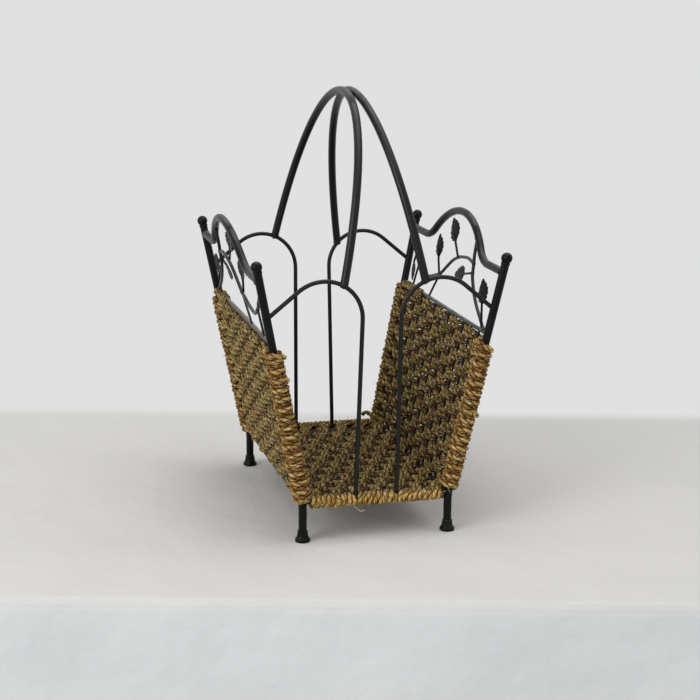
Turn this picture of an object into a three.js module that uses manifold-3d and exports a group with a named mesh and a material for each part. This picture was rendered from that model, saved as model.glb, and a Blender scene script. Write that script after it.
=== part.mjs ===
// A magazine basket: a welded frame of steel tube and rod, whose two sides and floor
// are woven in seagrass cord. Everything is welded, cast or woven, so nothing moves.
//
// Millimetres, Z up. The origin is on the floor, at the centre of the footprint.
// X runs from one woven side to the other, Y along the woven sides, from front to back.

import * as THREE from 'three';
import * as BufferGeometryUtils from 'three/addons/utils/BufferGeometryUtils.js';
import Module from 'manifold-3d';

const wasm = await Module();
wasm.setup();

// Stock that the frame is made of
const tubeRadius = 4.75;
const railRadius = 4.6;
const rodRadius = 2.5;
const wireRadius = 1.5;
const vineRadius = 2;
const leafStemRadius = 1.4;
const tubeSides = 10;
const rodSides = 8;
const wireSides = 6;

// What welded and touching pieces keep between them
const seatGap = 0.3;

// Legs and posts: a leg stands upright, bends at the floor of the basket and leans out to its ball,
// which stands a little higher than the flat of the top rail
const legHalfWidth = 87;
const legHalfDepth = 152.6;
const bendHeight = 46.2;
const bendReach = 11;
const bendSteps = 3;
const ballRise = 16.4;
const ballOutWidth = 56.9;
const ballOutDepth = 19.1;

// Ball finials and feet
const ballRadius = 6.5;
const collarHeight = 3;
const collarLip = 0.5;
const ballSteps = 5;
const footRadius = 8.75;
const footPadHeight = 4.4;
const footEdge = 1;
const footHeight = 13;
const footWall = 0.9;
const footSocketFloor = 5;
const roundSides = 12;

// Top rail of a side: flat at the posts, with a crown between two hollow shoulders. The room for
// the scroll lies between that flat and the top bar of the woven panel.
const scrollRise = 72;
const crownRadius = 130;
const crownTurn = THREE.MathUtils.degToRad(41.3);
const shoulderRadius = 48.7;
const shoulderSteps = 3;
const crownSteps = 7;

// Rod arches that close the front and the back, two at each end
const archFoot = 24.5;
const archCentre = 67.5;
const archCentreHeight = 260.5;
const archRadius = 45;
const archPastTop = THREE.MathUtils.degToRad(40);
const archSteps = 9;

// Two handle hoops, each from a front arch over the middle to a back arch. The places where
// they are welded are turns back from the top of an arch, and differ as on hand-made ironwork.
const hoopTop = 500.8;
const hoopCrownReach = 85;
const hoopLegReach = 133;
const hoopLegLean = THREE.MathUtils.degToRad(5.6);
const hoopSteps = 9;
const hoopSeats = {
  left: { front: THREE.MathUtils.degToRad(30), back: THREE.MathUtils.degToRad(23.5) },
  right: { front: THREE.MathUtils.degToRad(24), back: THREE.MathUtils.degToRad(48) },
};

// Woven sheets: warp wires, and one band of two cords laid out and back through them
const panelTop = 236;
const warpCount = 11;
const bandThickness = 4.6;
const bandGap = 0.5;
const sideRows = 16;
const floorInnerRows = 4;
const floorOuterRows = 5;
const turnSteps = 3;
const spreadTurnShares = [0, 0.5, 0.5, 1];
const lateTurnShares = [0, 0, 1, 1];

// Vine scroll of a side. Its places are shares: the first of the distance from the middle to
// the post, the second of the height from the panel's top bar to the flat of the top rail.
const vineForkShares = [-0.432, 0.903];
const vineStemShares = [[-0.408, 1.04], vineForkShares, [-0.455, 0.732], [-0.507, 0.593], [-0.58, 0.444],
  [-0.68, 0.293], [-0.788, 0.165]];
const vineStemTopShare = -0.392;
const vineStemFootShares = [-0.92, 0];
const vineWaveShares = [vineForkShares, [-0.31, 0.945], [-0.206, 0.924], [-0.118, 0.889], [0, 0.785],
  [0.104, 0.628], [0.202, 0.479], [0.316, 0.403], [0.407, 0.347], [0.563, 0.299], [0.657, 0.361],
  [0.75, 0.472], [0.864, 0.667]];
const vineWaveEndShares = [1, 0.889];
const vineStemSteps = 12;
const vineWaveSteps = 18;
const vineStrutSteps = 3;
const vineStrutShares = [
  { on: [0.202, 0.479], middle: [0.26, 0.32], foot: [0.346, 0] },
  { on: [0.724, 0.436], middle: [0.75, 0.25], foot: [0.773, 0] },
];

// Cast leaves: each a pointed oval with a rib down its middle and teeth along its edges, on a
// straight stem. Stem and blade are shares of the usual lengths, and swell is the blade's width
// as a share of its own length. The turns, in degrees, are up from the way of the rail. The stems
// are welded to the inner half of the vine, so the leaves stand in a little from it.
const leafInset = 1.8;
const leafStemLength = 26;
const leafLength = 31;
const leafShares = [
  { on: [-0.118, 0.889], stem: 1.036, stemTurn: 38.5, blade: 1.154, bladeTurn: 44.3, swell: 0.68 },
  { on: [0.202, 0.479], stem: 0.929, stemTurn: 51.2, blade: 0.988, bladeTurn: 62, swell: 0.7 },
  { on: [-0.45, 0.75], stem: 0.95, stemTurn: -12, blade: 1.102, bladeTurn: -13.7, swell: 0.6 },
  { on: [-0.88, 0.053], stem: 1.112, stemTurn: 60.1, blade: 1.005, bladeTurn: 60.5, swell: 0.8 },
  { on: [0.806, 0.567], stem: 0.423, stemTurn: -79, blade: 0.766, bladeTurn: -109.4, swell: 0.7 },
];
const leafBulgeShare = 0.8;
const leafNotchShare = 0.84;
const leafTeeth = 4;
const leafEdge = 0.5;
const leafRib = 1.25;
const leafTip = 0.5;
const leafStemLap = 2;

const blackIron = new THREE.MeshStandardMaterial({ color: 0x262523, roughness: 0.5, metalness: 0.35 });
const seagrass = new THREE.MeshStandardMaterial({ color: 0x8d7a48, roughness: 0.9, metalness: 0 });

const railHeight = panelTop + scrollRise;
const ballHeight = railHeight + ballRise;
const ballHalfWidth = legHalfWidth + ballOutWidth;
const ballHalfDepth = legHalfDepth + ballOutDepth;

// How far a post leans out along X and along Y for each millimetre that it climbs
const leanX = ballOutWidth / (ballHeight - bendHeight);
const leanY = ballOutDepth / (ballHeight - bendHeight);
const postWay = new THREE.Vector3(leanX, leanY, 1).normalize();
const sideNormal = new THREE.Vector3(1, 0, -leanX).normalize();
const upSide = new THREE.Vector3(leanX, 0, 1).normalize();

const halfWidthAt = (height) => legHalfWidth + (height - bendHeight) * leanX;
const halfDepthAt = (height) => legHalfDepth + (height - bendHeight) * leanY;

// A point in the leaning plane of the right side
const onSide = (y, height) => new THREE.Vector3(halfWidthAt(height), y, height);

// A point of the right side's scroll, by its shares
function inScroll([depthShare, heightShare]) {
  const height = panelTop + heightShare * scrollRise;
  return onSide(depthShare * halfDepthAt(height), height);
}

// A centreline made of runs, [curve, steps] each: a straight run takes one step and a bend several.
// place lays the points of a plane curve in space.
class Centreline extends THREE.Curve {
  constructor(runs, place = (point) => point) {
    super();
    this.runs = runs;
    this.place = place;
    this.steps = runs.reduce((sum, [, steps]) => sum + steps, 0);
  }

  getPoint(t) {
    let step = t * this.steps;
    for (const [curve, steps] of this.runs) {
      if (step <= steps) return this.place(curve.getPoint(step / steps));
      step -= steps;
    }
    return this.place(this.runs.at(-1)[0].getPoint(1));
  }

  getUtoTmapping(u) {
    return u;
  }
}

const straight = (from, to) => new Centreline([[new THREE.LineCurve3(from, to), 1]]);

// A closed geometry as a solid that can be joined and cut
function solidOf(geometry) {
  const bare = geometry.clone();
  bare.deleteAttribute('normal');
  bare.deleteAttribute('uv');
  const merged = BufferGeometryUtils.mergeVertices(bare);
  return new wasm.Manifold(new wasm.Mesh({
    numProp: 3,
    vertProperties: Float32Array.from(merged.attributes.position.array),
    triVerts: Uint32Array.from(merged.index.array),
  }));
}

function geometryOf(solid) {
  const mesh = solid.getMesh();
  const geometry = new THREE.BufferGeometry();
  geometry.setAttribute('position', new THREE.BufferAttribute(mesh.vertProperties, 3));
  geometry.setIndex(new THREE.BufferAttribute(mesh.triVerts, 1));
  geometry.computeVertexNormals();
  return geometry;
}

// Round stock along a centreline
function rod(centreline, radius, sides) {
  const corners = Array.from({ length: sides }, (_, i) => {
    const angle = (2 * Math.PI * i) / sides;
    return new THREE.Vector2(radius * Math.cos(angle), radius * Math.sin(angle));
  });
  const options = { steps: centreline.steps, extrudePath: centreline };
  return solidOf(new THREE.ExtrudeGeometry(new THREE.Shape(corners), options));
}

// The room that round stock needs, to cut the end of a piece that is welded to it
const roomFor = (centreline, radius, sides) => rod(centreline, radius + seatGap, sides);
const cutBy = (solid, rooms) => rooms.reduce((cut, room) => cut.subtract(room), solid);

// A body lofted through rings of as many points each, which turn right-handed about its way
function loft(rings) {
  const count = rings[0].length;
  const last = (rings.length - 1) * count;
  const faces = [];
  for (let ring = 0; ring < rings.length - 1; ring++) {
    for (let k = 0; k < count; k++) {
      const next = (k + 1) % count;
      const a = ring * count + k;
      const b = ring * count + next;
      faces.push(a, b, b + count, a, b + count, a + count);
    }
  }
  for (let k = 1; k < count - 1; k++) {
    faces.push(0, k + 1, k, last, last + k, last + k + 1);
  }
  const geometry = new THREE.BufferGeometry().setFromPoints(rings.flat());
  geometry.setIndex(faces);
  geometry.computeVertexNormals();
  return geometry;
}

const basket = new THREE.Group();
const rightSide = new THREE.Group();
const leftSide = new THREE.Group();
leftSide.rotation.z = Math.PI;
basket.add(rightSide, leftSide);

function addPiece(parent, name, geometry, material) {
  const mesh = new THREE.Mesh(geometry, material);
  mesh.name = name;
  parent.add(mesh);
  return mesh;
}

const sides = [{ name: 'left', sign: -1 }, { name: 'right', sign: 1 }];
const ends = [{ name: 'front', sign: -1 }, { name: 'back', sign: 1 }];

// A leg and post are one bent tube, from the foot's socket to the finial's collar
function postLine(sideSign, endSign) {
  const atCorner = (x, y, z) => new THREE.Vector3(sideSign * x, endSign * y, z);
  const bend = atCorner(legHalfWidth, legHalfDepth, bendHeight);
  const way = atCorner(postWay.x, postWay.y, postWay.z);
  const ball = atCorner(ballHalfWidth, ballHalfDepth, ballHeight);
  const top = ball.clone().addScaledVector(way, -(tubeRadius + collarHeight + seatGap));
  const bottom = atCorner(legHalfWidth, legHalfDepth, footSocketFloor + seatGap);
  const below = atCorner(legHalfWidth, legHalfDepth, bendHeight - bendReach);
  const above = bend.clone().addScaledVector(way, bendReach);
  return new Centreline([
    [new THREE.LineCurve3(bottom, below), 1],
    [new THREE.QuadraticBezierCurve3(below, bend, above), bendSteps],
    [new THREE.LineCurve3(above, top), 1],
  ]);
}

// A finial, with its ball's centre at its own origin. The collar below the ball is a little
// wider than the tube and closes the post's end.
function finial() {
  const collarTop = -tubeRadius;
  const collarRadius = tubeRadius + collarLip;
  const neckAngle = -Math.acos(tubeRadius / ballRadius);
  const profile = [
    new THREE.Vector2(0, collarTop - collarHeight),
    new THREE.Vector2(collarRadius, collarTop - collarHeight),
    new THREE.Vector2(collarRadius, collarTop),
  ];
  for (let i = 0; i < ballSteps; i++) {
    const angle = neckAngle + ((Math.PI / 2 - neckAngle) * i) / ballSteps;
    profile.push(new THREE.Vector2(ballRadius * Math.cos(angle), ballRadius * Math.sin(angle)));
  }
  profile.push(new THREE.Vector2(0, ballRadius));
  return new THREE.LatheGeometry(profile, roundSides).rotateX(Math.PI / 2);
}

// A foot: a flat pad that flares up to a sleeve round the leg's end
function foot() {
  const socketRadius = tubeRadius + seatGap;
  const sleeveRadius = socketRadius + footWall;
  const profile = [
    new THREE.Vector2(0, 0),
    new THREE.Vector2(footRadius - footEdge, 0),
    new THREE.Vector2(footRadius, footEdge),
    new THREE.Vector2(footRadius, footPadHeight),
    new THREE.Vector2((footRadius + sleeveRadius) / 2, (footPadHeight + footHeight) / 2),
    new THREE.Vector2(sleeveRadius, footHeight),
    new THREE.Vector2(socketRadius, footHeight),
    new THREE.Vector2(socketRadius, footSocketFloor),
    new THREE.Vector2(0, footSocketFloor),
  ];
  return new THREE.LatheGeometry(profile, roundSides).rotateX(Math.PI / 2);
}

const postRooms = [];
for (const side of sides) {
  for (const end of ends) {
    const corner = `${end.name}_${side.name}`;
    const line = postLine(side.sign, end.sign);
    addPiece(basket, `post_${corner}`, geometryOf(rod(line, tubeRadius, tubeSides)), blackIron);
    postRooms.push(roomFor(line, tubeRadius, tubeSides));

    const ball = addPiece(basket, `finial_${corner}`, finial(), blackIron);
    ball.position.set(side.sign * ballHalfWidth, end.sign * ballHalfDepth, ballHeight);
    const way = new THREE.Vector3(side.sign * postWay.x, end.sign * postWay.y, postWay.z);
    ball.quaternion.setFromUnitVectors(new THREE.Vector3(0, 0, 1), way);

    const pad = addPiece(basket, `foot_${corner}`, foot(), blackIron);
    pad.position.set(side.sign * legHalfWidth, end.sign * legHalfDepth, 0);
  }
}

// A piece whose ends run into the posts, cut where they meet them
const betweenPosts = (solid) => cutBy(solid, postRooms);

// Top rails. The crown and the shoulders are arcs that meet where both have turned by crownTurn.
const shoulderDepth = (crownRadius + shoulderRadius) * Math.sin(crownTurn);
const crownCentreHeight = railHeight + shoulderRadius - (crownRadius + shoulderRadius) * Math.cos(crownTurn);
const railEnd = halfDepthAt(railHeight);
const down = -Math.PI / 2;
const up = Math.PI / 2;

const arc = (x, y, radius, from, to, clockwise) =>
  new THREE.EllipseCurve(x, y, radius, radius, from, to, clockwise);

const shoulder = (side, from, to) =>
  arc(side * shoulderDepth, railHeight + shoulderRadius, shoulderRadius, from, to, false);
const railFlat = (from, to) =>
  new THREE.LineCurve(new THREE.Vector2(from, railHeight), new THREE.Vector2(to, railHeight));

const railLine = new Centreline([
  [railFlat(-railEnd, -shoulderDepth), 1],
  [shoulder(-1, down, down + crownTurn), shoulderSteps],
  [arc(0, crownCentreHeight, crownRadius, up + crownTurn, up - crownTurn, true), crownSteps],
  [shoulder(1, down - crownTurn, down), shoulderSteps],
  [railFlat(shoulderDepth, railEnd), 1],
], (point) => onSide(point.x, point.y));

// The bars that the floor hangs on, and the bars along the foot of each woven side
const floorCorner = (sideSign, endSign) =>
  new THREE.Vector3(sideSign * legHalfWidth, endSign * legHalfDepth, bendHeight);
const endBarLine = (endSign) => straight(floorCorner(-1, endSign), floorCorner(1, endSign));
const sideBarLine = (sideSign) => straight(floorCorner(sideSign, -1), floorCorner(sideSign, 1));
const panelTopEnd = halfDepthAt(panelTop);
const topBarLine = straight(onSide(-panelTopEnd, panelTop), onSide(panelTopEnd, panelTop));

// Warp wires stand at even shares of the way from the middle to the posts
const warpShares = Array.from({ length: warpCount }, (_, i) => (2 * (i + 1)) / (warpCount + 1) - 1);

for (const end of ends) {
  const bar = betweenPosts(rod(endBarLine(end.sign), rodRadius, rodSides));
  addPiece(basket, `floor_bar_${end.name}`, geometryOf(bar), blackIron);
}

const floorWires = warpShares.map((share) => {
  const y = share * legHalfDepth;
  const from = new THREE.Vector3(-legHalfWidth, y, bendHeight);
  return rod(straight(from, new THREE.Vector3(legHalfWidth, y, bendHeight)), wireRadius, wireSides);
});
const floorGrid = [-1, 1].reduce(
  (grid, sign) => grid.add(betweenPosts(rod(sideBarLine(sign), rodRadius, rodSides))),
  wasm.Manifold.union(floorWires),
);
addPiece(basket, 'floor_grid', geometryOf(floorGrid), blackIron);

// How far from its axis the band's middle runs as it goes round a bar or post
const turnRadiusRound = (radius) =>
  (radius + seatGap + bandThickness / 2) / Math.cos(Math.PI / turnSteps / 2);

// A woven sheet is one unbroken band. It passes the warps by turns in front and behind, goes round
// the bar or post at the end of its row, and comes back as the next row, always the opposite way.
// Within a bay the band spreads over both rows as it turns, so that it covers what it goes round.
// centre(share, row) is a point of the sheet's middle, across(share) the way that its rows climb.
function wovenBand({ rows, centre, across, normal, carrierRadius }) {
  const crossingShift = wireRadius + seatGap + bandThickness / 2;
  const turnRadius = turnRadiusRound(carrierRadius);
  const rings = [];
  const addRing = (middle, width, acrossWay, through) => {
    const halfWidth = acrossWay.clone().multiplyScalar(width / 2);
    const halfThickness = through.clone().multiplyScalar(bandThickness / 2);
    rings.push([[-1, -1], [1, -1], [1, 1], [-1, 1]].map(([u, v]) => middle.clone()
      .addScaledVector(halfWidth, u)
      .addScaledVector(halfThickness, v)));
  };
  addRing(centre(-1, rows[0].place).addScaledVector(normal, turnRadius), rows[0].width, across(-1), normal);
  rows.forEach(({ place, width, bay }, index) => {
    const forward = index % 2 === 0 ? 1 : -1;
    const facing = normal.clone().multiplyScalar(forward);
    for (let warp = 1; warp <= warpCount; warp++) {
      const share = forward * warpShares[warp - 1];
      const shift = forward * (warp % 2 === 0 ? crossingShift : -crossingShift);
      addRing(centre(share, place).addScaledVector(normal, shift), width, across(share), facing);
    }
    const next = rows[index + 1];
    const acrossWay = across(forward);
    const outward = acrossWay.clone().cross(normal).multiplyScalar(forward).normalize();
    if (!next) {
      addRing(centre(forward, place).addScaledVector(facing, turnRadius), width, acrossWay, facing);
      return;
    }
    const sameBay = next.bay === bay;
    const turnShares = sameBay ? spreadTurnShares : lateTurnShares;
    turnShares.forEach((share, step) => {
      const angle = (Math.PI * step) / turnSteps;
      const row = THREE.MathUtils.lerp(place, next.place, share);
      const spread = sameBay && share > 0 && share < 1;
      const rowWidth = spread ? width + next.width + bandGap : THREE.MathUtils.lerp(width, next.width, share);
      const through = facing.clone()
        .multiplyScalar(Math.cos(angle))
        .addScaledVector(outward, Math.sin(angle));
      addRing(centre(forward, row).addScaledVector(through, turnRadius), rowWidth, acrossWay, through);
    });
  });
  return loft(rings);
}

// Rows of one bay, evenly spaced between its two edges. slope is how much longer the sheet is
// than the distance that its rows are placed along.
const bayRows = (bay, from, to, count, slope = 1) => Array.from({ length: count }, (_, i) => ({
  bay,
  place: from + ((to - from) * (i + 0.5)) / count,
  width: (slope * Math.abs(to - from)) / count - bandGap,
}));

// Floor: the arches' feet stand on the end bars, between the inner rows and the outer ones
const innerBay = archFoot - rodRadius - seatGap;
const outerBayFrom = archFoot + rodRadius + seatGap;
const outerBayTo = legHalfWidth - tubeRadius - seatGap;
const floorRows = [
  ...bayRows('right', outerBayTo, outerBayFrom, floorOuterRows),
  ...bayRows('middle', innerBay, -innerBay, floorInnerRows),
  ...bayRows('left', -outerBayFrom, -outerBayTo, floorOuterRows),
];
addPiece(basket, 'woven_floor', wovenBand({
  rows: floorRows,
  centre: (share, x) => new THREE.Vector3(x, share * legHalfDepth, bendHeight),
  across: () => new THREE.Vector3(-1, 0, 0),
  normal: new THREE.Vector3(0, 0, 1),
  carrierRadius: rodRadius,
}), seagrass);

// Sides: the rows fill the height from the floor's weave to the top bar
const sideSlope = Math.hypot(1, leanX);
const sideFrom = bendHeight + turnRadiusRound(rodRadius) + bandThickness / 2 + seatGap;
const sideTo = panelTop - (rodRadius + seatGap) * sideSlope;
const sideBand = wovenBand({
  rows: bayRows('side', sideFrom, sideTo, sideRows, sideSlope),
  centre: (share, height) => onSide(share * halfDepthAt(height), height),
  across: (share) => new THREE.Vector3(leanX, share * leanY, 1).normalize(),
  normal: sideNormal,
  carrierRadius: tubeRadius,
});

// Warp wires of a side hang from its top bar and end just over the bar at its foot
const sideWires = warpShares.map((share) => rod(straight(
  onSide(share * halfDepthAt(bendHeight), bendHeight),
  onSide(share * halfDepthAt(panelTop), panelTop),
), wireRadius, wireSides));
const sideGrid = wasm.Manifold.union(sideWires)
  .subtract(roomFor(sideBarLine(1), rodRadius, rodSides))
  .add(betweenPosts(rod(topBarLine, rodRadius, rodSides)));

const topRail = betweenPosts(rod(railLine, railRadius, tubeSides));

// The vine: an upright stem from the rail down to the top bar, and a wave that leaves it at the
// fork and runs along the side to the far post
const vineStemTop = vineStemTopShare * halfDepthAt(railHeight);
const vineStemTopHeight = crownCentreHeight + Math.sqrt(crownRadius ** 2 - vineStemTop ** 2);
const vineStemLine = new Centreline([[new THREE.CatmullRomCurve3([
  onSide(vineStemTop, vineStemTopHeight),
  ...vineStemShares.map(inScroll),
  inScroll(vineStemFootShares),
]), vineStemSteps]]);
const vineWaveLine = new Centreline([[new THREE.CatmullRomCurve3([
  ...vineWaveShares.map(inScroll),
  inScroll(vineWaveEndShares),
]), vineWaveSteps]]);
const topBarRoom = roomFor(topBarLine, rodRadius, rodSides);
const stemRoom = roomFor(vineStemLine, vineRadius, wireSides);
const waveRoom = roomFor(vineWaveLine, vineRadius, wireSides);
const railRoom = roomFor(railLine, railRadius, tubeSides);
const vineStem = cutBy(rod(vineStemLine, vineRadius, wireSides), [topBarRoom, railRoom]);
const vineWave = betweenPosts(rod(vineWaveLine, vineRadius, wireSides).subtract(stemRoom));

// Struts from the wave down to the top bar
const strutLines = vineStrutShares.map(({ on, middle, foot: end }) => new Centreline([
  [new THREE.QuadraticBezierCurve3(inScroll(on), inScroll(middle), inScroll(end)), vineStrutSteps],
]));
const vineStruts = strutLines.map((line) =>
  cutBy(rod(line, leafStemRadius, wireSides), [waveRoom, topBarRoom]));
const strutRooms = strutLines.map((line) => roomFor(line, leafStemRadius, wireSides));

// The way in the side's plane that climbs at a turn, in degrees, from the way of the rail
function wayInSide(turn) {
  const angle = THREE.MathUtils.degToRad(turn);
  return new THREE.Vector3(0, Math.cos(angle), 0).addScaledVector(upSide, Math.sin(angle));
}

// A leaf is cast in one with its stem, which is welded to the vine
function leaf({ on, stem: stemShare, stemTurn, blade: bladeShare, bladeTurn, swell }) {
  const foot = inScroll(on).addScaledVector(sideNormal, -leafInset);
  const start = foot.clone().addScaledVector(wayInSide(stemTurn), stemShare * leafStemLength);
  const way = wayInSide(bladeTurn);
  const length = bladeShare * leafLength;
  const wide = sideNormal.clone().cross(way);
  const cuts = 2 * leafTeeth;
  const rings = Array.from({ length: cuts + 1 }, (_, i) => {
    const t = i / cuts;
    const bulge = (swell * length * Math.sin(Math.PI * t ** leafBulgeShare)) / 2;
    const half = Math.max(i % 2 === 0 ? bulge * leafNotchShare : bulge, leafTip);
    const middle = start.clone().addScaledVector(way, t * length);
    const outline = [[-half, -leafEdge], [0, -leafRib], [half, -leafEdge], [half, leafEdge], [0, leafRib],
      [-half, leafEdge]];
    return outline.map(([u, v]) => middle.clone().addScaledVector(wide, u).addScaledVector(sideNormal, v));
  });
  const stem = straight(foot, start.clone().addScaledVector(way, leafStemLap));
  const whole = solidOf(loft(rings)).add(rod(stem, leafStemRadius, wireSides));
  return cutBy(whole, [waveRoom, stemRoom, topBarRoom, ...strutRooms]);
}
const leaves = leafShares.map(leaf);

// Both sides are alike, and one is the other turned half round
for (const [group, name] of [[rightSide, 'right'], [leftSide, 'left']]) {
  addPiece(group, `top_rail_${name}`, geometryOf(topRail), blackIron);
  addPiece(group, `side_grid_${name}`, geometryOf(sideGrid), blackIron);
  addPiece(group, `woven_side_${name}`, sideBand, seagrass);
  addPiece(group, `vine_stem_${name}`, geometryOf(vineStem), blackIron);
  addPiece(group, `vine_wave_${name}`, geometryOf(vineWave), blackIron);
  vineStruts.forEach((strut, i) => {
    addPiece(group, `vine_strut_${i + 1}_${name}`, geometryOf(strut), blackIron);
  });
  leaves.forEach((cast, i) => {
    addPiece(group, `leaf_${i + 1}_${name}`, geometryOf(cast), blackIron);
  });
}

// Arches: up from the floor bar, over the top and down to the post
function archLine(sideSign, endSign) {
  const over = new THREE.Vector2(
    archCentre + archRadius * Math.sin(archPastTop),
    archCentreHeight + archRadius * Math.cos(archPastTop),
  );
  const reach = (halfWidthAt(over.y) - over.x) / (Math.cos(archPastTop) + leanX * Math.sin(archPastTop));
  const atPost = new THREE.Vector2(
    over.x + reach * Math.cos(archPastTop),
    over.y - reach * Math.sin(archPastTop),
  );
  const footPoint = new THREE.Vector2(archFoot, bendHeight);
  const spring = new THREE.Vector2(archCentre - archRadius, archCentreHeight);
  return new Centreline([
    [new THREE.LineCurve(footPoint, spring), 1],
    [arc(archCentre, archCentreHeight, archRadius, Math.PI, up - archPastTop, true), archSteps],
    [new THREE.LineCurve(over, atPost), 1],
  ], (point) => new THREE.Vector3(sideSign * point.x, endSign * halfDepthAt(point.y), point.y));
}

const archRooms = [];
for (const side of sides) {
  for (const end of ends) {
    const line = archLine(side.sign, end.sign);
    const barRoom = roomFor(endBarLine(end.sign), rodRadius, rodSides);
    const arch = betweenPosts(rod(line, rodRadius, rodSides).subtract(barRoom));
    addPiece(basket, `arch_${end.name}_${side.name}`, geometryOf(arch), blackIron);
    archRooms.push(roomFor(line, rodRadius, rodSides));
  }
}

// Half of a hoop, from the middle of its crown down its leg to its seat, which is a rod's radius
// up the leg from the middle of the arch
function hoopHalf(sideSign, endSign, seatTurn) {
  const seatX = archCentre - archRadius * Math.sin(seatTurn);
  const seatHeight = archCentreHeight + archRadius * Math.cos(seatTurn);
  const topX = tubeRadius + seatGap / 2;
  const kneeHeight = seatHeight + hoopLegReach * Math.cos(hoopLegLean);
  const kneeDepth = halfDepthAt(seatHeight) - hoopLegReach * Math.sin(hoopLegLean);
  const kneeX = THREE.MathUtils.mapLinear(kneeHeight, seatHeight, hoopTop, seatX, topX);
  const place = (x, y, z) => new THREE.Vector3(sideSign * x, endSign * y, z);
  const knee = place(kneeX, kneeDepth, kneeHeight);
  const onArch = place(seatX, halfDepthAt(seatHeight), seatHeight);
  const legWay = knee.clone().sub(onArch).normalize();
  return [
    place(topX, 0, hoopTop),
    place(topX, hoopCrownReach, hoopTop),
    knee,
    onArch.addScaledVector(legWay, rodRadius),
  ];
}

for (const side of sides) {
  const [top, shoulderFront, kneeFront, seatFront] = hoopHalf(side.sign, -1, hoopSeats[side.name].front);
  const [, shoulderBack, kneeBack, seatBack] = hoopHalf(side.sign, 1, hoopSeats[side.name].back);
  const line = new Centreline([
    [new THREE.CubicBezierCurve3(seatFront, kneeFront, shoulderFront, top), hoopSteps],
    [new THREE.CubicBezierCurve3(top, shoulderBack, kneeBack, seatBack), hoopSteps],
  ]);
  const hoop = cutBy(rod(line, tubeRadius, tubeSides), archRooms);
  addPiece(basket, `handle_hoop_${side.name}`, geometryOf(hoop), blackIron);
}

export default basket;
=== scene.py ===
# A magazine basket: a black welded frame of steel tube and rod with leaning sides, woven in
# twisted seagrass cord, with vine scrolls under its top rails and a handle of two hoops.
# Metres, Z up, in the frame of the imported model.

import math
import random

import bmesh
import bpy
from mathutils import Matrix, Vector, noise


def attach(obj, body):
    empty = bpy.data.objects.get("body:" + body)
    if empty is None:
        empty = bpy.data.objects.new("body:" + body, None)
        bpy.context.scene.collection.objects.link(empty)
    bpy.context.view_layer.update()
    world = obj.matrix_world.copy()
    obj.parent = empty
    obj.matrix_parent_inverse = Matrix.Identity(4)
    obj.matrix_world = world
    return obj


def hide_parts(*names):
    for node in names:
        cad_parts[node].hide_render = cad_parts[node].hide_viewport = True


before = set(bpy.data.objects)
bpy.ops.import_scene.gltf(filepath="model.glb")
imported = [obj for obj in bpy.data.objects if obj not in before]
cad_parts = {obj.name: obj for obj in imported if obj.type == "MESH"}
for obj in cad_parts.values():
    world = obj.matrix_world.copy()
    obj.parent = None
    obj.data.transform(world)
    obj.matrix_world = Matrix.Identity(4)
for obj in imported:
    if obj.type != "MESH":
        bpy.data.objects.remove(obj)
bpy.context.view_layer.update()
scene = bpy.context.scene
scene.view_settings.view_transform = "Standard"


# Camera
# It stands in front of the basket, to the left and a little above it, and looks slightly down.
camera_place = (-0.4936, -1.8823, 0.6393)
camera_turn = -0.2603
camera_down = 0.2287
camera_roll = 0.0099
camera_data = bpy.data.cameras.new("camera")
camera_data.sensor_width = 36.0
camera_data.lens = 84.0
camera = bpy.data.objects.new("camera", camera_data)
camera.matrix_world = (
    Matrix.Translation(camera_place) @ Matrix.Rotation(camera_turn, 4, "Z")
    @ Matrix.Rotation(math.pi / 2 - camera_down, 4, "X") @ Matrix.Rotation(camera_roll, 4, "Z"))
scene.collection.objects.link(camera)
scene.camera = camera


# Table, wall and light
# A table under a creased white cloth stands against a pale wall, and the cloth hangs down over
# its front edge. The light is soft and comes from all round, most of it from above.
class Number:
    """A number that changes over a surface. Sums, products and the like add Math nodes."""

    def __init__(self, finish, socket):
        self.finish = finish
        self.socket = socket

    def math(self, operation, *values):
        node = self.finish.node("ShaderNodeMath", {"operation": operation})
        for slot, value in zip(node.inputs, values):
            self.finish.join(value, slot)
        return Number(self.finish, node.outputs[0])

    def __add__(self, other):
        return self.math("ADD", self, other)

    def __sub__(self, other):
        return self.math("SUBTRACT", self, other)

    def __mul__(self, other):
        return self.math("MULTIPLY", self, other)

    __radd__ = __add__
    __rmul__ = __mul__

    def __rsub__(self, other):
        return self.math("SUBTRACT", other, self)

    def __abs__(self):
        return self.math("ABSOLUTE", self)

    def sine(self):
        return self.math("SINE", self)

    def cosine(self):
        return self.math("COSINE", self)

    def between(self, low, high):
        """0 below low, 1 above high and a smooth rise between them."""
        node = self.finish.node("ShaderNodeMapRange", {"interpolation_type": "SMOOTHSTEP"}, {
            "Value": self, "From Min": low, "From Max": high})
        return Number(self.finish, node.outputs["Result"])


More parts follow.
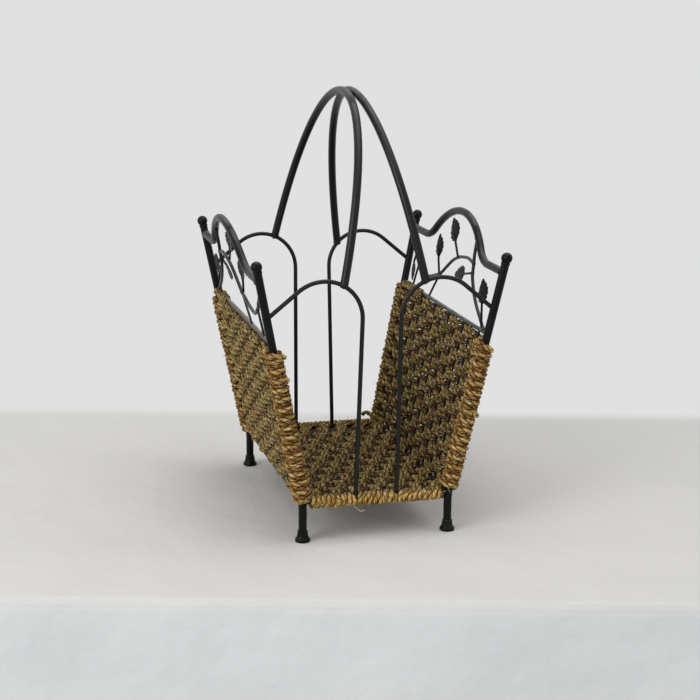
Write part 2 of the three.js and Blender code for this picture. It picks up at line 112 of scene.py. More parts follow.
class Finish:
    """A material and the tree of nodes that colours it. node makes every node but the first two."""

    def __init__(self, name):
        self.material = bpy.data.materials.new(name)
        self.material.use_nodes = True
        self.tree = self.material.node_tree
        self.shader = self.tree.nodes["Principled BSDF"]
        self.places = self.node("ShaderNodeTexCoord").outputs["Object"]

    def join(self, value, socket):
        if isinstance(value, Number):
            value = value.socket
        if isinstance(value, bpy.types.NodeSocket):
            self.tree.links.new(value, socket)
        else:
            socket.default_value = value

    def node(self, kind, settings=None, inputs=None):
        node = self.tree.nodes.new(kind)
        for name, value in (settings or {}).items():
            setattr(node, name, value)
        for name, value in (inputs or {}).items():
            self.join(value, node.inputs[name])
        return node

    def noise(self, scale, detail=3.0, roughness=0.5, places=None):
        node = self.node("ShaderNodeTexNoise", {"noise_dimensions": "3D"}, {
            "Vector": places or self.places, "Scale": scale, "Detail": detail, "Roughness": roughness})
        return Number(self, node.outputs["Fac"])

    def parts(self, vector):
        node = self.node("ShaderNodeSeparateXYZ", None, {"Vector": vector})
        return [Number(self, output) for output in node.outputs]

    def vector(self, x, y, z):
        node = self.node("ShaderNodeCombineXYZ", None, {"X": x, "Y": y, "Z": z})
        return node.outputs[0]

    def mix(self, share, first, second, blend="MIX"):
        node = self.node("ShaderNodeMix", {"data_type": "RGBA", "blend_type": blend})
        self.join(share, node.inputs[0])
        for socket, colour in ((node.inputs[6], first), (node.inputs[7], second)):
            self.join(colour if isinstance(colour, bpy.types.NodeSocket) else (*colour, 1.0), socket)
        return node.outputs[2]

    def ramp(self, share, stops):
        node = self.node("ShaderNodeValToRGB", None, {"Fac": share})
        elements = node.color_ramp.elements
        while len(elements) < len(stops):
            elements.new(0.5)
        for element, (place, colour) in zip(elements, stops):
            element.position = place
            element.color = (*colour, 1.0)
        return node.outputs["Color"]

    def bump(self, height, distance, strength=1.0, normal=None):
        inputs = {"Height": height, "Distance": distance, "Strength": strength}
        if normal:
            inputs["Normal"] = normal
        return self.node("ShaderNodeBump", None, inputs).outputs["Normal"]

    def set(self, **inputs):
        for name, value in inputs.items():
            self.join(value, self.shader.inputs[name.replace("_", " ")])
        return self.material


class Room(Finish):
    """The world's own tree of nodes, for the light from all round and the wall."""

    def __init__(self, name):
        scene.world = bpy.data.worlds.new(name)
        scene.world.use_nodes = True
        self.tree = scene.world.node_tree


def add_object(name, mesh, material):
    """An object for a finished mesh, linked to the scene."""
    thing = bpy.data.objects.new(name, mesh)
    mesh.materials.append(material)
    scene.collection.objects.link(thing)
    return thing


table_reach = 1.2
table_front = 0.348
table_back = 0.41
table_turn = camera_turn
far_edge_fade = 0.06
cloth_drop = 0.5
cloth_fold = 0.006
cloth_cells = 90
crease_depth = 0.02
ripple_depth = 0.012
ripple_from = 0.1
cloth_colour = (0.675, 0.667, 0.64)
# Painted light: lit_hanging_colour makes the cloth paler where it hangs down over the front edge
lit_hanging_colour = (0.85, 0.86, 0.87)
wall_colour = (0.745, 0.75, 0.745)
sky_strength = 0.46

cloth = Finish("table_cloth")
cloth_x, cloth_y, cloth_z = cloth.parts(cloth.places)
way_back = cloth_y * math.cos(table_turn) - cloth_x * math.sin(table_turn)
creases = cloth.noise(5.0, 6.0, 0.5) + 0.35 * abs(cloth.noise(4.0, 2.0) - 0.5)
lying_colour = cloth.mix(cloth.noise(6.0), cloth_colour, [0.95 * part for part in cloth_colour])
cloth.set(
    # Painted light: the cloth is paler where it hangs down
    Base_Color=cloth.mix(cloth_z.between(-2 * cloth_fold, 0.0), lit_hanging_colour, lying_colour),
    Roughness=0.9,
    Alpha=1.0 - way_back.between(table_back - far_edge_fade, table_back),
    Normal=cloth.bump(creases, crease_depth, 0.6),
)
cloth_form = bmesh.new()
bmesh.ops.create_grid(cloth_form, x_segments=cloth_cells, y_segments=2 * cloth_cells, size=1.0)
for vert in cloth_form.verts:
    across = vert.co.x * table_reach
    along = table_back - (1.0 - vert.co.y) / 2 * (table_back + table_front + cloth_drop)
    past_edge = max(0.0, -table_front - along)
    turned = min(past_edge / cloth_fold, math.pi / 2)
    drop = cloth_fold * (1.0 - math.cos(turned)) + max(0.0, past_edge - cloth_fold * math.pi / 2)
    y = max(along, -table_front) - cloth_fold * math.sin(turned)
    hanging = min(1.0, past_edge / ripple_from)
    ripple = noise.noise(Vector((across * 5.0, drop * 1.5, 3.0))) * ripple_depth * hanging
    vert.co = (across, y - ripple, -drop)
cloth_mesh = bpy.data.meshes.new("table_cloth")
bmesh.ops.rotate(cloth_form, verts=cloth_form.verts, matrix=Matrix.Rotation(table_turn, 3, "Z"))
cloth_form.to_mesh(cloth_mesh)
cloth_mesh.shade_smooth()
add_object("table_cloth", cloth_mesh, cloth.material)

room = Room("room")
rays = room.node("ShaderNodeLightPath").outputs
seen, mirrored = Number(room, rays["Is Camera Ray"]), Number(room, rays["Is Glossy Ray"])
wall_is_seen = seen.math("MAXIMUM", seen, mirrored)
wall_light = room.node("ShaderNodeBackground", None, {"Color": (*wall_colour, 1.0)})
room_light = room.tree.nodes["Background"]
room.join((1.0, 1.0, 1.0, 1.0), room_light.inputs["Color"])
room.join(sky_strength, room_light.inputs["Strength"])
either = room.node("ShaderNodeMixShader", None, {
    "Fac": wall_is_seen, 1: room_light.outputs[0], 2: wall_light.outputs[0]})
room.join(either.outputs[0], room.tree.nodes["World Output"].inputs["Surface"])

lamp_aim = Vector((0.0, 0.0, 0.2))


def add_lamp(name, place, size, power):
    """A square lamp that faces the middle of the basket."""
    data = bpy.data.lights.new(name, "AREA")
    data.size = size
    data.energy = power
    lamp = bpy.data.objects.new(name, data)
    scene.collection.objects.link(lamp)
    way = lamp_aim - Vector(place)
    lamp.matrix_world = Matrix.Translation(place) @ way.to_track_quat("-Z", "Y").to_matrix().to_4x4()


add_lamp("ceiling_lamp", (0.25, -0.3, 2.6), 2.6, 37.0)
add_lamp("window", (-3.0, -1.7, 1.6), 2.2, 62.0)


# Black iron
# The frame is mild steel, sprayed satin black once it is welded. The paint shows a fine grain.
# It has worn to a dull grey brown here and there, and whatever faces up is greyed, partly by dust and partly
# by a painted highlight.
paint_grain = 0.00012
paint_dent = 0.0005


def iron_finish(name, paint, worn_paint, dust, dust_and_light_share, shine):
    """Painted iron, from its paint, the colour that it wears to, and the dust on what faces up, which also
    stands for a painted highlight on the tops.
    """
    finish = Finish(name)
    facing_up = finish.parts(finish.node("ShaderNodeNewGeometry").outputs["Normal"])[2]
    rubbed = finish.noise(38.0, 6.0, 0.62).between(0.56, 0.72)
    # Partly dust and partly a painted highlight: what faces up turns paler
    dust_and_top_light = facing_up.between(0.6, 1.0) * finish.noise(55.0, 4.0).between(0.3, 0.6)
    grain = finish.noise(1600.0, 2.0)
    dents = finish.noise(160.0, 3.0)
    return finish.set(
        Base_Color=finish.mix(dust_and_top_light * dust_and_light_share, finish.mix(rubbed * 0.4, paint, worn_paint), dust),
        Roughness=0.25 + 0.14 * finish.noise(120.0) + 0.1 * rubbed + 0.12 * dust_and_top_light,
        Specular_IOR_Level=shine,
        Normal=finish.bump(grain, paint_grain, 0.5, finish.bump(dents, paint_dent, 0.5)),
    )


iron = iron_finish("black_iron_paint", (0.0075, 0.007, 0.0065), (0.03, 0.027, 0.023),
                   (0.14, 0.137, 0.127), 0.58, 0.25)


def keep(name, form, material, nodes, sharp_angle=math.radians(35.0)):
    """Turns a finished form into a piece that rides on the basket in place of its nodes."""
    bmesh.ops.recalc_face_normals(form, faces=form.faces)
    mesh = bpy.data.meshes.new(name)
    form.to_mesh(mesh)
    form.free()
    mesh.shade_smooth()
    mesh.set_sharp_from_angle(angle=sharp_angle)
    piece = add_object(name, mesh, material)
    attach(piece, "root")
    if nodes:
        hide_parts(*nodes)


def draw_tube(form, path, radius, sides):
    """Draws round stock along a path and closes its ends. radius is one number, or one a point."""
    radii = radius if isinstance(radius, list) else [radius] * len(path)
    ways = [(after - before).normalized() for before, after in zip(path[:-1], path[1:])]
    tangents = [ways[0], *[(a + b).normalized() for a, b in zip(ways[:-1], ways[1:])], ways[-1]]
    turn = tangents[0].to_track_quat("Z", "Y")
    ring = bmesh.ops.create_circle(form, cap_ends=False, segments=sides, radius=1.0)["verts"]
    place = Matrix.LocRotScale(path[0], turn, Vector((radii[0],) * 3))
    bmesh.ops.transform(form, matrix=place, verts=ring)
    edges = list({edge for vert in ring for edge in vert.link_edges})
    first_edges = edges
    for index in range(1, len(path)):
        turn = tangents[index - 1].rotation_difference(tangents[index]) @ turn
        next_place = Matrix.LocRotScale(path[index], turn, Vector((radii[index],) * 3))
        made = bmesh.ops.extrude_edge_only(form, edges=edges)["geom"]
        ring = [item for item in made if isinstance(item, bmesh.types.BMVert)]
        edges = [item for item in made if isinstance(item, bmesh.types.BMEdge)
                 and all(vert in ring for vert in item.verts)]
        bmesh.ops.transform(form, matrix=next_place @ place.inverted(), verts=ring)
        place = next_place
    bmesh.ops.holes_fill(form, edges=first_edges + edges, sides=0)


def keep_tube(name, path, radius, sides, material, nodes):
    """Keeps round stock along one path as a piece."""
    form = bmesh.new()
    draw_tube(form, path, radius, sides)
    keep(name, form, material, nodes)


# Legs and posts
# Each leg and post is one 9.5 mm tube, bent at the floor of the basket so that the post leans
# out from there to its finial. Its paint is darker and duller than the hoops'.
post_iron = iron_finish("duller_iron_of_posts", (0.0048, 0.0043, 0.0038), (0.022, 0.019, 0.016),
                        (0.12, 0.117, 0.107), 0.5, 0.13)
tube_radius = 0.00475
leg_half_width = 0.087
leg_half_depth = 0.1526
bend_height = 0.0462
bend_reach = 0.011
ball_height = 0.3244
ball_half_width = 0.1439
ball_half_depth = 0.1717
leg_start = 0.0053
collar_room = 0.0031
bend_steps = 8
lean_x = (ball_half_width - leg_half_width) / (ball_height - bend_height)
lean_y = (ball_half_depth - leg_half_depth) / (ball_height - bend_height)
tube_sides = 28
rod_sides = 16

corners = {
    "front_left": (-1, -1), "back_left": (-1, 1), "front_right": (1, -1), "back_right": (1, 1),
}


def half_width(height):
    return leg_half_width + (height - bend_height) * lean_x


def half_depth(height):
    return leg_half_depth + (height - bend_height) * lean_y


def up_post(side, end):
    """The way that a post leans."""
    return Vector((side * lean_x, end * lean_y, 1.0)).normalized()


def ball_place(side, end):
    """The middle of a post's ball."""
    return Vector((side * ball_half_width, end * ball_half_depth, ball_height))


def curve_through(start, handle_1, handle_2, end, steps):
    """Points on a curve that leaves start towards handle_1 and reaches end from handle_2."""
    points = []
    for index in range(steps + 1):
        t = index / steps
        points.append(start * (1 - t) ** 3 + handle_1 * 3 * t * (1 - t) ** 2
                      + handle_2 * 3 * t ** 2 * (1 - t) + end * t ** 3)
    return points


for corner, (side, end) in corners.items():
    foot_point = Vector((side * leg_half_width, end * leg_half_depth, 0.0))
    bend = foot_point + Vector((0.0, 0.0, bend_height))
    below = bend - Vector((0.0, 0.0, bend_reach))
    above = bend + up_post(side, end) * bend_reach
    path = [foot_point + Vector((0.0, 0.0, leg_start))]
    path += curve_through(below, below.lerp(bend, 2 / 3), above.lerp(bend, 2 / 3), above, bend_steps)
    path += [ball_place(side, end) - up_post(side, end) * (tube_radius + collar_room)]
    keep_tube(f"bent_post_{corner}", path, tube_radius, tube_sides, post_iron, [f"post_{corner}"])


# Ball finials and feet
# A turned ball on a thin collar closes each post, and each leg stands in a foot that flares
# out to a flat round pad. Both are welded on and filed smooth.
ball_radius = 0.0065
ball_steps = 12
collar_height = 0.003
collar_lip = 0.0005
edge_inset = 0.0004
edge_rise = 0.0006
foot_radius = 0.00875
foot_height = 0.013
foot_wall = 0.0009
pad_edge = ((0.001, 0.0), (0.0002, 0.0006), (0.0, 0.0014), (0.0, 0.0032), (0.0004, 0.004))
pad_height = 0.0047
pad_top_inset = 0.0012
flare_inset = 0.0016
flare_steps = 6
sleeve_lip = 0.0002
socket_floor = 0.006
seat_gap = 0.0003
round_steps = 32
seam_reach = 0.00001


def spin_profile(form, profile):
    """Turns a profile, points of radius and height from axis to axis, right round Z."""
    verts = [form.verts.new((radius, 0.0, height)) for radius, height in profile]
    edges = [form.edges.new(pair) for pair in zip(verts[:-1], verts[1:])]
    bmesh.ops.spin(form, geom=verts + edges, cent=(0.0, 0.0, 0.0), axis=(0.0, 0.0, 1.0),
                   angle=2 * math.pi, steps=round_steps, use_merge=True)
    bmesh.ops.remove_doubles(form, verts=form.verts, dist=seam_reach)


collar_radius = tube_radius + collar_lip
neck_angle = -math.acos(tube_radius * 0.9 / ball_radius)
collar_top = -tube_radius
collar_foot = collar_top - collar_height
finial_profile = [(0.0, collar_foot), (collar_radius - edge_inset, collar_foot),
                  (collar_radius, collar_foot + edge_rise), (collar_radius, collar_top - edge_rise),
                  (collar_radius - edge_inset, collar_top)]
for step in range(ball_steps + 1):
    angle = neck_angle + (math.pi / 2 - neck_angle) * step / ball_steps
    finial_profile.append((ball_radius * math.cos(angle), ball_radius * math.sin(angle)))
sleeve_radius = tube_radius + seat_gap + foot_wall
foot_profile = [(0.0, 0.0)] + [(foot_radius - inset, height) for inset, height in pad_edge]
foot_profile += [(foot_radius - pad_top_inset, pad_height)]
for step in range(1, flare_steps + 1):
    t = step / flare_steps
    flare = sleeve_radius + (foot_radius - flare_inset - sleeve_radius) * (1 - t) ** 2
    foot_profile.append((flare, pad_height + (foot_height - pad_height) * t))
foot_profile += [(tube_radius - sleeve_lip, foot_height + sleeve_lip),
                 (tube_radius - 2 * sleeve_lip, socket_floor), (0.0, socket_floor)]

for corner, (side, end) in corners.items():
    form = bmesh.new()
    spin_profile(form, finial_profile)
    turn = Vector((0.0, 0.0, 1.0)).rotation_difference(up_post(side, end))
    place = Matrix.LocRotScale(ball_place(side, end), turn, None)
    bmesh.ops.transform(form, matrix=place, verts=form.verts)
    keep(f"ball_finial_{corner}", form, post_iron, [f"finial_{corner}"])
    form = bmesh.new()
    spin_profile(form, foot_profile)
    bmesh.ops.translate(form, verts=form.verts, vec=(side * leg_half_width, end * leg_half_depth, 0.0))
    keep(f"flared_foot_{corner}", form, post_iron, [f"foot_{corner}"])


# Top rails
# Each side ends in a 9.2 mm tube, bent to a crown between two hollow shoulders and welded
# between its posts. Dust and a painted highlight grey the top of it.
rail_iron = iron_finish("iron_of_rails_dust_and_highlight", (0.0048, 0.0043, 0.0038), (0.022, 0.019, 0.016),
                        (0.16, 0.157, 0.147), 0.56, 0.13)
rail_radius = 0.0046
rail_height = 0.308
crown_radius = 0.130
crown_turn = math.radians(41.3)
shoulder_radius = 0.0487
crown_steps = 14
shoulder_steps = 8
shoulder_depth = (crown_radius + shoulder_radius) * math.sin(crown_turn)
crown_centre = rail_height + shoulder_radius - (crown_radius + shoulder_radius) * math.cos(crown_turn)


def on_side(side, y, height):
    """A point in the leaning plane of a side. The left side is the right one turned half round."""
    return Vector((side * half_width(height), side * y, height))


def out_of_side(side):
    """The way straight out of the plane of a side."""
    return Vector((side, 0.0, -lean_x)).normalized()


def arc(centre_y, centre_z, radius, start, stop, steps):
    """Points of an arc, as pairs of depth and height."""
    angles = [start + (stop - start) * index / steps for index in range(steps + 1)]
    return [(centre_y + radius * math.cos(a), centre_z + radius * math.sin(a)) for a in angles]


quarter = math.pi / 2
rail_end = half_depth(rail_height) - tube_radius * 0.8
half_rail = arc(0.0, crown_centre, crown_radius, quarter, quarter - crown_turn, crown_steps)
half_rail += arc(shoulder_depth, rail_height + shoulder_radius, shoulder_radius,
                 -quarter - crown_turn, -quarter, shoulder_steps)[1:]
half_rail += [(rail_end, rail_height)]
rail_outline = [(-y, z) for y, z in reversed(half_rail[1:])] + half_rail
side_names = {"left": -1, "right": 1}
for side_name, side in side_names.items():
    path = [on_side(side, y, z) for y, z in rail_outline]
    keep_tube(f"crowned_rail_{side_name}", path, rail_radius, tube_sides, rail_iron,
              [f"top_rail_{side_name}"])


# Bars and warp wires
# 5 mm rods tie the legs at the floor and under the scrolls, and 3 mm wires that the cord is
# woven through are welded to them. The wires' paint is a warm dark brown.
wire_iron = iron_finish("iron_among_grass", (0.011, 0.0055, 0.002), (0.03, 0.017, 0.007),
                        (0.06, 0.04, 0.02), 0.2, 0.2)
# The bars' paint is paler than the rest and greyed on top, partly by dust and partly by a painted highlight.
bar_iron = iron_finish("iron_of_bars_dust_and_highlight", (0.024, 0.023, 0.019), (0.05, 0.048, 0.04),
                       (0.25, 0.25, 0.215), 0.9, 0.25)
rod_radius = 0.0025
wire_radius = 0.0015
wire_sides = 10
wire_foot = rod_radius * 0.8
bar_end = tube_radius * 0.7
panel_top = 0.236
warp_count = 11
warp_shares = [2 * (index + 1) / (warp_count + 1) - 1 for index in range(warp_count)]

for end_name, end in (("front", -1), ("back", 1)):
    reach = leg_half_width - bar_end
    ends = [Vector((x, end * leg_half_depth, bend_height)) for x in (-reach, reach)]
    keep_tube(f"end_bar_{end_name}", ends, rod_radius, rod_sides, iron, [f"floor_bar_{end_name}"])

form = bmesh.new()
for side in (-1, 1):
    reach = leg_half_depth - bar_end
    ends = [Vector((side * leg_half_width, y, bend_height)) for y in (-reach, reach)]
    draw_tube(form, ends, rod_radius, rod_sides)
for share in warp_shares:
    ends = [Vector((x, share * leg_half_depth, bend_height)) for x in (-leg_half_width, leg_half_width)]
    draw_tube(form, ends, wire_radius, wire_sides)
keep("floor_wires", form, wire_iron, ["floor_grid"])

bar_sag = 0.002
sag_reach = 0.09
bar_parts = 24


def bar_point(side, y):
    """A point of a top bar, which sags towards the back under the cord that is laid over it."""
    back_share = max(0.0, 1 - (half_depth(panel_top) - y) / sag_reach)
    return Vector((side * half_width(panel_top), y, panel_top - bar_sag * back_share * (2 - back_share)))


for side_name, side in side_names.items():
    reach = half_depth(panel_top) - bar_end
    path = [bar_point(side, reach * (2 * part / bar_parts - 1)) for part in range(bar_parts + 1)]
    keep_tube(f"panel_bar_{side_name}", path, rod_radius, rod_sides, bar_iron, [])
    form = bmesh.new()
    for share in warp_shares:
        ends = [on_side(side, share * half_depth(z), z) for z in (bend_height + wire_foot, panel_top)]
        draw_tube(form, ends, wire_radius, wire_sides)
    keep(f"panel_wires_{side_name}", form, wire_iron, [f"side_grid_{side_name}"])


# Arches and handle hoops
# Two rod arches close each end. The two hoops of the handle are 9.5 mm tube, bent in one long
# curve each, and stand on the arches where they are welded.
arch_foot = 0.0245
arch_centre = 0.0675
arch_centre_height = 0.2605
arch_radius = 0.045
arch_past_top = math.radians(40.0)
arch_steps = 26
arch_reach_share = 0.93
welded_share = 0.6
arch_over_x = arch_centre + arch_radius * math.sin(arch_past_top)
arch_over_z = arch_centre_height + arch_radius * math.cos(arch_past_top)
arch_spread = math.cos(arch_past_top) + lean_x * math.sin(arch_past_top)
arch_run = (half_width(arch_over_z) - arch_over_x) / arch_spread
arch_outline = [(arch_foot, bend_height + rod_radius * welded_share)]
arch_outline += arc(arch_centre, arch_centre_height, arch_radius, math.pi, quarter - arch_past_top,
                    arch_steps)
arch_outline += [(arch_over_x + arch_run * arch_reach_share * math.cos(arch_past_top),
                  arch_over_z - arch_run * arch_reach_share * math.sin(arch_past_top))]
for corner, (side, end) in corners.items():
    path = [Vector((side * x, end * half_depth(z), z)) for x, z in arch_outline]
    keep_tube(f"rod_arch_{corner}", path, rod_radius, rod_sides, iron, [f"arch_{corner}"])

hoop_top = 0.5008
hoop_crown_reach = 0.085
hoop_leg_reach = 0.133
hoop_leg_lean = math.radians(5.6)
hoop_steps = 26
hoop_seats = {
    ("left", -1): math.radians(30.0), ("left", 1): math.radians(23.5),
    ("right", -1): math.radians(24.0), ("right", 1): math.radians(48.0),
}
hoop_ends = {}
for side_name, side in side_names.items():
    path = []
    for end in (-1, 1):
        seat_turn = hoop_seats[side_name, end]
        seat_x = arch_centre - arch_radius * math.sin(seat_turn)
        seat_z = arch_centre_height + arch_radius * math.cos(seat_turn)
        top_x = tube_radius + seat_gap / 2
        knee_z = seat_z + hoop_leg_reach * math.cos(hoop_leg_lean)
        knee_y = half_depth(seat_z) - hoop_leg_reach * math.sin(hoop_leg_lean)
        knee_x = seat_x + (top_x - seat_x) * (knee_z - seat_z) / (hoop_top - seat_z)
        seat = Vector((side * seat_x, end * half_depth(seat_z), seat_z))
        knee = Vector((side * knee_x, end * knee_y, knee_z))
        seat += (knee - seat).normalized() * rod_radius * welded_share
        shoulder = Vector((side * top_x, end * hoop_crown_reach, hoop_top))
        top = Vector((side * top_x, 0.0, hoop_top))
        half = curve_through(seat, knee, shoulder, top, hoop_steps)
        hoop_ends[side_name, end] = (seat, (half[1] - half[0]).normalized())
        path += half if end < 0 else half[::-1][1:]
    keep_tube(f"curved_hoop_{side_name}", path, tube_radius, tube_sides, iron, [f"handle_hoop_{side_name}"])


# Vine scrolls
# Under each top rail runs a vine of thin rod: a stem from the rail down to the panel, a wave
# that leaves it and reaches the far post, and two struts. All of it is welded in the side's plane.
vine_radius = 0.002
strut_radius = 0.0014
vine_sides = 12
vine_steps = 4
strut_steps = 8
stem_top_share = -0.392
fork_shares = (-0.432, 0.903)
stem_shares = [(-0.408, 1.04), fork_shares, (-0.455, 0.732), (-0.507, 0.593), (-0.58, 0.444), (-0.68, 0.293),
               (-0.788, 0.165), (-0.92, 0.0)]
wave_shares = [fork_shares, (-0.31, 0.945), (-0.206, 0.924), (-0.118, 0.889), (0.0, 0.785), (0.104, 0.628),
               (0.202, 0.479), (0.316, 0.403), (0.407, 0.347), (0.563, 0.299), (0.657, 0.361), (0.75, 0.472),
               (0.864, 0.667), (0.985, 0.87)]
strut_shares = [
    [(0.202, 0.479), (0.26, 0.32), (0.346, 0.02)],
    [(0.724, 0.436), (0.75, 0.25), (0.773, 0.02)],
]


def in_scroll(side, shares):
    """A point of the scroll: its share of the way out to the post, and up from panel to rail."""
    height = panel_top + shares[1] * (rail_height - panel_top)
    return on_side(side, shares[0] * half_depth(height), height)


def smooth_path(points, steps):
    """Points on a smooth curve through all of the given ones."""
    padded = [points[0] * 2 - points[1], *points, points[-1] * 2 - points[-2]]
    path = [points[0]]
    for before, start, end, after in zip(padded, padded[1:], padded[2:], padded[3:]):
        path += curve_through(start, start + (end - before) / 6, end - (after - start) / 6, end, steps)[1:]
    return path


stem_top_y = stem_top_share * half_depth(rail_height)
stem_top_z = crown_centre + math.sqrt(crown_radius ** 2 - stem_top_y ** 2) - rail_radius * welded_share
for side_name, side in side_names.items():
    points = [on_side(side, stem_top_y, stem_top_z)]
    points += [in_scroll(side, shares) for shares in stem_shares]
    path = smooth_path(points, vine_steps)
    keep_tube(f"stem_of_vine_{side_name}", path, vine_radius, vine_sides, iron, [f"vine_stem_{side_name}"])
    path = smooth_path([in_scroll(side, shares) for shares in wave_shares], vine_steps)
    keep_tube(f"wave_of_vine_{side_name}", path, vine_radius, vine_sides, iron, [f"vine_wave_{side_name}"])
    for number, strut in enumerate(strut_shares, 1):
        on, middle, low = [in_scroll(side, shares) for shares in strut]
        path = curve_through(on, on.lerp(middle, 2 / 3), low.lerp(middle, 2 / 3), low, strut_steps)
        keep_tube(f"strut_{number}_of_vine_{side_name}", path, strut_radius, vine_sides, iron,
                  [f"vine_strut_{number}_{side_name}"])


# Cast leaves
# Five leaves hang on each vine. A leaf is cast in soft iron with its short stem, a pointed oval
# with a toothed edge, a rib down its middle and veins that run from the rib to the teeth.
leaf_iron = iron_finish("iron_of_leaves", (0.006, 0.0055, 0.005), (0.022, 0.019, 0.016),
                        (0.05, 0.048, 0.044), 0.4, 0.08)
leaf_inset = 0.0018
leaf_twist = math.radians(6.0)
leaf_stem_length = 0.026
leaf_length = 0.031
# Where each stem is welded on, the stem's length and turn, and the blade's length, turn and width
leaf_shares = [
    ((-0.118, 0.889), 1.036, 38.5, 1.154, 44.3, 0.68),
    ((0.202, 0.479), 0.929, 51.2, 0.988, 62.0, 0.7),
    ((-0.45, 0.75), 0.95, -12.0, 1.05, -10.0, 0.7),
    ((-0.88, 0.053), 1.112, 60.1, 1.005, 60.5, 0.8),
    ((0.806, 0.567), 0.423, -79.0, 0.766, -109.4, 0.7),
]
leaf_teeth = 5
tooth_depth_share = 0.2
leaf_across = 16
leaf_along = 40
leaf_thickness = 0.0011
leaf_lift = 0.0002
leaf_tip = 0.0006
leaf_cup = 0.0012
leaf_dish = 0.0006
rib_width = 0.0009
rib_rise = 0.0007
vein_rise = 0.00035
vein_start = 0.001
vein_slope = 1.1
vein_width_share = 0.13
stem_bend = 0.003
stem_steps = 6
stem_sides = 10
stem_in_blade_share = 0.35
stem_taper = [0.0013, 0.0011, 0.0006]


def leaf_form(start, way, wide, out, length, swell):
    """A leaf as a grid that is drawn in to its outline, raised along rib and veins, and thickened."""
    form = bmesh.new()
    bmesh.ops.create_grid(form, x_segments=leaf_across, y_segments=leaf_along, size=1.0)
    for vert in form.verts:
        across, along = vert.co.x, (vert.co.y + 1) / 2
        bulge = swell * length * math.sin(math.pi * along ** 0.8) ** 0.85 / 2
        saw = (along * leaf_teeth) % 1.0
        tooth = 1.0 - tooth_depth_share * abs(across) ** 3 * (1.0 - saw)
        u = across * max(bulge * tooth, leaf_tip)
        v = along * length
        rib = math.exp(-(u / rib_width) ** 2)
        vein_row = ((v - abs(u) * vein_slope) / length * leaf_teeth) % 1.0
        vein = math.exp(-((vein_row - 0.5) / vein_width_share) ** 2) * min(1.0, abs(u) / vein_start)
        cup = leaf_cup * (abs(across) ** 2) * math.sin(math.pi * along)
        rise = rib_rise * rib + vein_rise * vein + cup - leaf_dish * math.sin(math.pi * along)
        vert.co = start + way * v + wide * u + out * rise
    bmesh.ops.recalc_face_normals(form, faces=form.faces)
    bmesh.ops.solidify(form, geom=form.faces[:], thickness=leaf_thickness)
    bmesh.ops.translate(form, verts=form.verts, vec=out * leaf_lift)
    return form


for side_name, side in side_names.items():
    up_side = Vector((side * lean_x, 0.0, 1.0)).normalized()
    out_side = out_of_side(side)
    for number, (on, stem, stem_turn, blade, blade_turn, swell) in enumerate(leaf_shares, 1):
        ways = []
        for turn in (stem_turn, blade_turn):
            angle = math.radians(turn)
            ways.append(Vector((0.0, side * math.cos(angle), 0.0)) + up_side * math.sin(angle))
        foot_point = in_scroll(side, on) - out_side * leaf_inset
        start = foot_point + ways[0] * stem * leaf_stem_length
        length = blade * leaf_length
        leaf_out = Matrix.Rotation(leaf_twist, 3, ways[1]) @ out_side
        form = leaf_form(start, ways[1], leaf_out.cross(ways[1]), leaf_out, length, swell)
        tip = start + ways[1] * length * stem_in_blade_share
        path = curve_through(foot_point, foot_point.lerp(start, 0.5), start - ways[1] * stem_bend, start,
                             stem_steps)
        path += [start.lerp(tip, 0.5), tip]
        draw_tube(form, path, [strut_radius] * stem_steps + stem_taper, stem_sides)
        keep(f"cast_leaf_{number}_{side_name}", form, leaf_iron, [f"leaf_{number}_{side_name}"])


# Weld beads
# Wherever two pieces of the frame meet there is a small rough bead of weld under the paint. Its
# size goes with what is welded, and some beads sit a little way along, in their corner.
bead_radii = {
    "arch": 0.0034, "rail": 0.0054, "bar": 0.0034, "hoop": 0.0049, "fork": 0.0026, "stem_top": 0.003,
    "stem_foot": 0.0029, "wave_end": 0.0028, "strut": 0.0024, "strut_foot": 0.0022, "leaf": 0.0023,
}
bead_shifts = {
    "arch_out": 0.0018, "arch_down": 0.001, "rail": 0.0008, "bar": 0.0046, "hoop": 0.0002, "stem": 0.0012,
}
stem_foot_shares = (-0.92, 0.03)
wave_end_shares = (0.97, 0.85)
lump_share = 0.22


def add_bead(form, place, radius, seed):
    """A lumpy ball of weld."""
    made = bmesh.ops.create_icosphere(form, subdivisions=3, radius=radius)["verts"]
    for vert in made:
        lump = noise.noise(vert.co.normalized() * 1.7 + Vector((seed, 0.0, 0.0)))
        vert.co *= 1.0 + lump_share * lump
    bmesh.ops.translate(form, verts=made, vec=place)


beads = []
for side, end in corners.values():
    x, z = arch_outline[-1]
    x += bead_shifts["arch_out"]
    beads.append(("arch", Vector((side * x, end * half_depth(z), z - bead_shifts["arch_down"]))))
    y = rail_end - bead_shifts["rail"]
    beads.append(("rail", Vector((side * half_width(rail_height), end * y, rail_height))))
    y = half_depth(panel_top) - bead_shifts["bar"]
    beads.append(("bar", Vector((side * half_width(panel_top), end * y, panel_top))))
for seat, way in hoop_ends.values():
    beads.append(("hoop", seat - way * bead_shifts["hoop"]))
for side in side_names.values():
    beads.append(("fork", in_scroll(side, fork_shares)))
    beads.append(("stem_top", on_side(side, stem_top_y, stem_top_z - bead_shifts["stem"])))
    beads.append(("stem_foot", in_scroll(side, stem_foot_shares)))
    beads.append(("wave_end", in_scroll(side, wave_end_shares)))
    for strut in strut_shares:
        beads.append(("strut", in_scroll(side, strut[0])))
        beads.append(("strut_foot", in_scroll(side, strut[2])))
    for leaf in leaf_shares:
        beads.append(("leaf", in_scroll(side, leaf[0])))
form = bmesh.new()
for seed, (welded, place) in enumerate(beads):
    add_bead(form, place, bead_radii[welded], seed * 3.7)
keep("weld_beads", form, iron, [])


